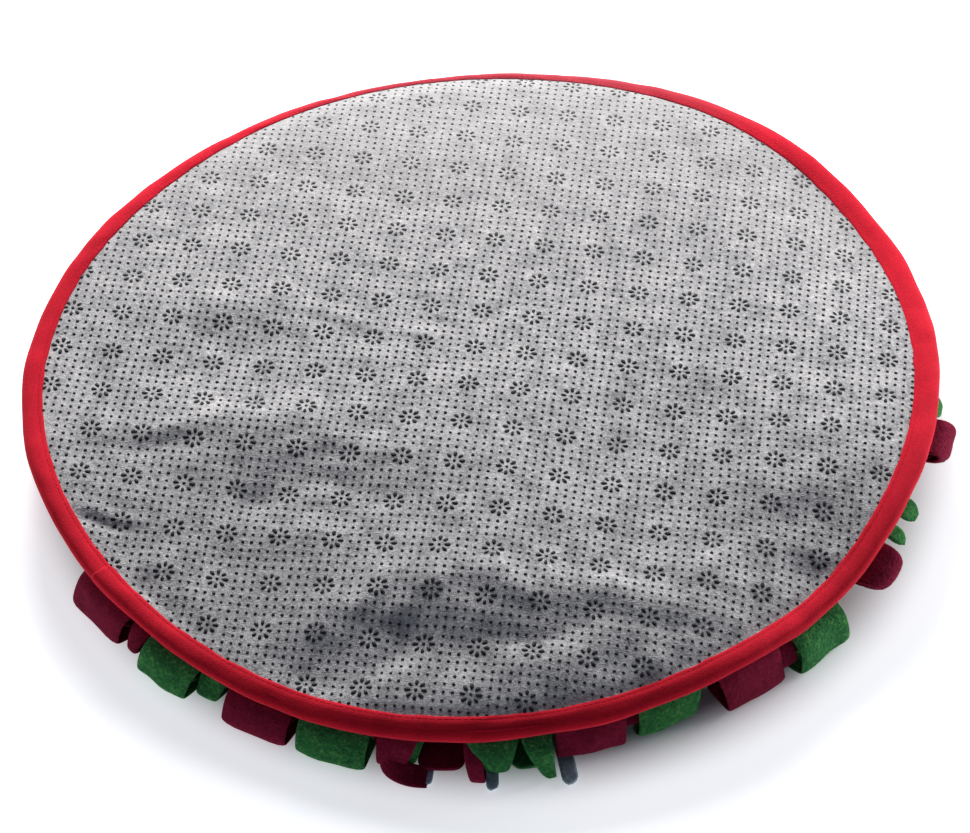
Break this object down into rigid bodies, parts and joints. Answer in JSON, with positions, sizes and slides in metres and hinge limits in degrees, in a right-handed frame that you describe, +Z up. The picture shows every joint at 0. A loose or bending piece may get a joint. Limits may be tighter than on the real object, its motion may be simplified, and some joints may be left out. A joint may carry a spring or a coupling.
{
  "type": "snuffle mat",
  "caption": "Round cloth snuffle mat lying on its fleece strips, with a low domed non-slip felt back up and a rolled red binding round its uneven edge.",
  "frame": {"origin": "under the middle of the whole mat's box, on the floor that the strips rest on", "axes": "+Z up out of the felt back, +X to the right and -Y towards the front, where the strips show"},
  "size_m": [0.467, 0.4602, 0.0445],
  "materials": {
    "felt": "heather grey needle felt with black rubber dots",
    "binding_red": "bright red folded tape",
    "red": "deep red fleece",
    "green": "green fleece",
    "pale": "pale grey fleece"
  },
  "bodies": {
    "root": {"back_sheet": "felt", "binding": "binding_red", "red_edge_strips": "red", "green_edge_strips": "green", "red_under_strips": "red", "green_under_strips": "green", "pale_under_strips": "pale", "red_inner_strips": "red", "green_inner_strips": "green", "pale_inner_strips": "pale", "red_middle_strips": "red"}
  },
  "joints": []
}
